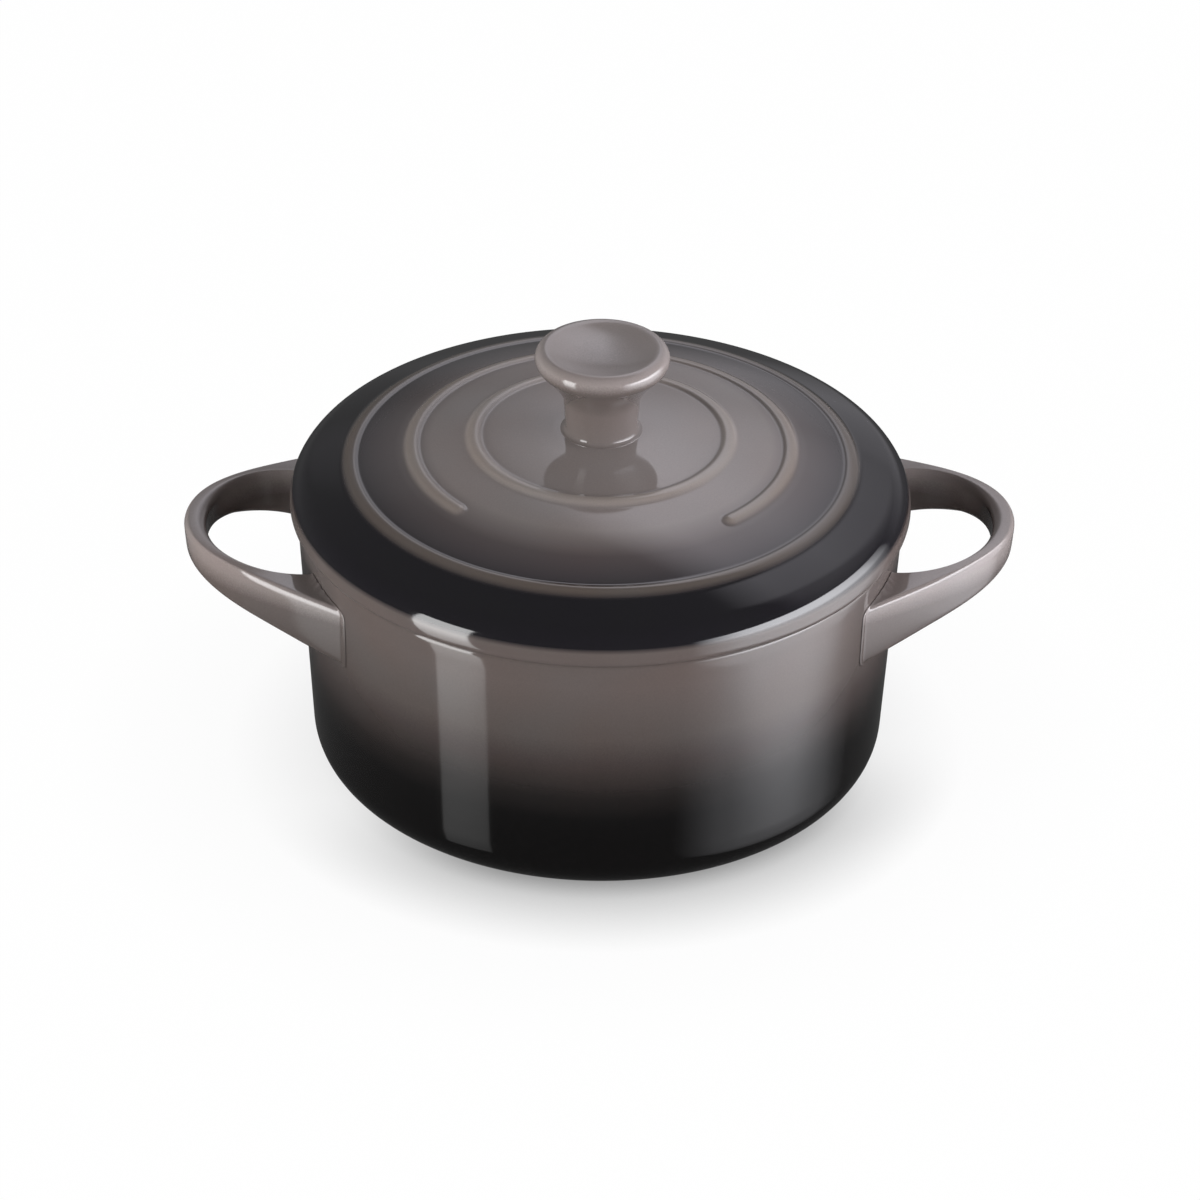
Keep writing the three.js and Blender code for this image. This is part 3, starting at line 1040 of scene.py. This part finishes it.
@dataclass(frozen=True)
class Studio:
    """White floor, soft boxes and the photo's camera.

    Attributes:
        distance: Distance of the camera from the point that it looks at.
        elevation: Angle of the camera above the floor.
        azimuth: Angle of the camera round the pot, from the front to the right.
        roll: Turn of the camera about its own line of sight.
        aim: The point that the camera looks at.
        lens: Focal length, in millimetres.
        sensor: Width of the sensor, in millimetres.
        fill: Brightness of the room.
        fill_below: Brightness of the room far below the table.
        dusk: How far down it has become that dark, as the sine of the angle.
        floor_radius: Radius of the floor.
        floor_sides: How many sides the round floor has.
        paper: Colour of the floor.
        glow_places: Two distances from the middle of the floor.
        glow: Share of plain white that the camera sees at those distances.
        contact: Weakest and strongest share of the shade where the pot stands.
        contact_places: Where it starts to grow and where it is full, towards the front.
        contact_turn: How far that front is turned to the right.
        contact_reach: How far the shade reaches from the pot.
        contact_rays: How many rays look for the pot.
        boxes: The lamps.
    """

    distance: float = 1.0
    elevation: float = math.radians(31.93)
    azimuth: float = math.radians(-1.94)
    roll: float = math.radians(0.876)
    aim: tuple[float, float, float] = (0.2 * MM, 0.0, 27.9 * MM)
    lens: float = 179.77
    sensor: float = 36.0
    fill: float = 0.18
    fill_below: float = 0.07
    dusk: float = -0.3
    floor_radius: float = 3.0
    floor_sides: int = 96
    paper: str = "#f4f4f4"
    glow_places: tuple[float, float] = (45 * MM, 90 * MM)
    glow: tuple[float, float] = (0.92, 0.99)
    contact: tuple[float, float] = (0.2, 0.75)
    contact_places: tuple[float, float] = (8 * MM, 38 * MM)
    contact_turn: float = math.radians(10)
    contact_reach: float = 16 * MM
    contact_rays: int = 16
    boxes: tuple[SoftBox, ...] = (
        SoftBox(
            name="left_strip",
            azimuth=(-66.5, -45.5),
            heights=(-0.64, 0.35),
            distance=0.7,
            radiance=6.6,
            upward=(
                (0.0, 0.03),
                (0.098, 0.072),
                (0.13, 0.1),
                (0.154, 0.21),
                (0.212, 0.28),
                (0.42, 0.5),
                (0.6, 0.95),
                (0.65, 1.0),
            ),
        ),
        SoftBox(
            name="right_box",
            azimuth=(30.0, 118.0),
            heights=(-0.8, 0.35),
            distance=0.7,
            radiance=8.8,
            upward=(
                (0.0, 0.02),
                (0.202, 0.071),
                (0.22, 0.086),
                (0.24, 0.12),
                (0.255, 0.165),
                (0.272, 0.22),
                (0.35, 0.28),
                (0.66, 0.36),
                (0.76, 0.5),
                (0.82, 1.0),
            ),
            across=(
                (0.0, 0.0),
                (0.15, 0.5),
                (0.25, 0.85),
                (0.37, 0.97),
                (0.5, 0.95),
                (0.6, 0.88),
                (0.78, 0.55),
                (0.86, 0.27),
                (1.0, 0.03),
            ),
            tint="#fafaff",
        ),
        SoftBox(
            name="left_fill",
            azimuth=(-110.0, -40.0),
            heights=(0.0, 0.25),
            distance=0.8,
            radiance=3.4,
            mirrored=False,
        ),
        SoftBox(
            name="back_panel",
            azimuth=(75.0, 205.0),
            heights=(0.5, 2.4),
            distance=1.2,
            radiance=1.5,
            upward=((0.0, 0.0), (0.15, 0.5), (0.4, 1.0), (0.7, 1.0), (1.0, 0.0)),
            across=(
                (0.0, 0.0),
                (0.3, 0.2),
                (0.45, 0.25),
                (0.55, 0.65),
                (0.62, 0.95),
                (0.68, 1.0),
                (0.73, 0.4),
                (0.78, 0.12),
                (1.0, 0.0),
            ),
            tint="#f9f6ff",
        ),
        SoftBox(
            name="back_card",
            azimuth=(120.0, 190.0),
            heights=(0.0, 0.8),
            distance=1.2,
            radiance=0.32,
            upward=((0.0, 0.0), (0.25, 1.0), (0.55, 1.0), (1.0, 0.0)),
            across=((0.0, 0.0), (0.5, 1.0), (0.7, 1.0), (1.0, 0.0)),
            tint="#f9f6ff",
        ),
    )

    def add_camera(self) -> None:
        """Adds the camera at the photo's angle."""
        level = math.cos(self.elevation) * self.distance
        away = Vector(
            (
                math.sin(self.azimuth) * level,
                -math.cos(self.azimuth) * level,
                math.sin(self.elevation) * self.distance,
            )
        )
        turn = (-away).to_track_quat("-Z", "Y") @ Quaternion((0, 0, 1), self.roll)
        bpy.ops.object.camera_add(location=away + Vector(self.aim), rotation=turn.to_euler())
        camera = bpy.context.object
        camera.data.lens = self.lens
        camera.data.sensor_width = self.sensor
        bpy.context.scene.camera = camera

    def floor_material(self) -> bpy.types.Material:
        """Builds the floor's material: paper that takes the light, and a white glow for the camera.

        Returns:
            A new material with procedural nodes.
        """
        material = bpy.data.materials.new("white studio floor")
        # The glow lights nothing, so it is not sampled as a lamp
        material.cycles.emission_sampling = "NONE"
        material.use_nodes = True
        tree = material.node_tree
        tree.nodes.clear()
        place = add_node(tree, "TexCoord").outputs["Object"]
        away = add_node(tree, "VectorMath", {0: place}, operation="LENGTH").outputs["Value"]
        (near, far), (dim, bright) = self.glow_places, self.glow
        fade = {"From Min": near, "From Max": far, "To Min": dim, "To Max": bright}
        lit = add_node(tree, "MapRange", {"Value": away, **fade}).outputs[0]
        rays = add_node(tree, "LightPath").outputs
        shown = rays["Is Camera Ray"]
        for kind in ("Is Glossy Ray", "Is Transmission Ray"):
            shown = add_node(tree, "Math", {0: shown, 1: rays[kind]}, operation="MAXIMUM").outputs[0]
        share = add_node(tree, "Math", {0: lit, 1: shown}, operation="MULTIPLY").outputs[0]
        paper = add_node(tree, "BsdfDiffuse", {"Color": linear(self.paper)}).outputs[0]
        white = add_node(tree, "Emission", {"Color": self.contact_shade(tree, place), "Strength": 1.0})
        shader = add_node(tree, "MixShader", {0: share, 1: paper, 2: white.outputs[0]}).outputs[0]
        add_node(tree, "OutputMaterial", {"Surface": shader})
        return material

    def contact_shade(
        self, tree: bpy.types.NodeTree, place: bpy.types.NodeSocket
    ) -> bpy.types.NodeSocket:
        """Adds the soft dark line where the pot stands, which is strongest on the camera's side.

        Args:
            tree: The floor's node tree.
            place: Socket with the object coordinates.

        Returns:
            The socket with the shade, which is white away from the pot.
        """
        reach = {"Distance": self.contact_reach}
        shade = add_node(tree, "AmbientOcclusion", reach, samples=self.contact_rays).outputs["Color"]
        front = Vector((math.sin(self.contact_turn), -math.cos(self.contact_turn), 0))
        forward = add_node(tree, "VectorMath", {0: place, 1: front}, operation="DOT_PRODUCT")
        (near, far), (weak, strong) = self.contact_places, self.contact
        growth = {"From Min": near, "From Max": far, "To Min": weak, "To Max": strong}
        cover = add_node(
            tree,
            "MapRange",
            {"Value": forward.outputs["Value"], **growth},
            interpolation_type="SMOOTHSTEP",
        )
        return mixed(tree, cover.outputs[0], linear(WHITE), shade)

    def add_floor(self) -> None:
        """Adds the white floor, which keeps the pot's soft shadow and which the glaze doesn't mirror."""
        bpy.ops.mesh.primitive_circle_add(
            vertices=self.floor_sides, radius=self.floor_radius, fill_type="NGON"
        )
        floor = bpy.context.object
        floor.name = "floor"
        floor.visible_glossy = False
        floor.data.materials.append(self.floor_material())

    def add_world(self) -> None:
        """Adds the even grey light of the room, which is darker below the table."""
        world = bpy.data.worlds.new("room")
        world.use_nodes = True
        tree = world.node_tree
        way = add_node(tree, "TexCoord").outputs["Generated"]
        rise = add_node(tree, "SeparateXYZ", {"Vector": way}).outputs["Z"]
        light = add_ramp(tree, rise, ((self.dusk, grey(self.fill_below)), (0.0, grey(self.fill))))
        # Past the edge of the floor the camera sees plain white, while the glaze mirrors the dim room
        seen = add_node(tree, "LightPath").outputs["Is Camera Ray"]
        shown = mixed(tree, seen, light, linear(WHITE))
        tree.links.new(shown, tree.nodes["Background"].inputs["Color"])
        bpy.context.scene.world = world

    def build(self) -> None:
        """Sets up the whole studio."""
        self.add_floor()
        self.add_world()
        for box in self.boxes:
            box.add()
        self.add_camera()
        bpy.context.scene.view_settings.view_transform = "Standard"


def main() -> None:
    """Builds the pieces and the studio."""
    logging.basicConfig(level=logging.INFO, format="%(name)s: %(message)s")
    pot = Pot()
    lid = Lid(pot)
    for piece in (pot, lid, Knob(lid), Handle(pot, Side.RIGHT), Handle(pot, Side.LEFT)):
        piece.add()
    Studio().build()


if __name__ == "__main__":
    main()
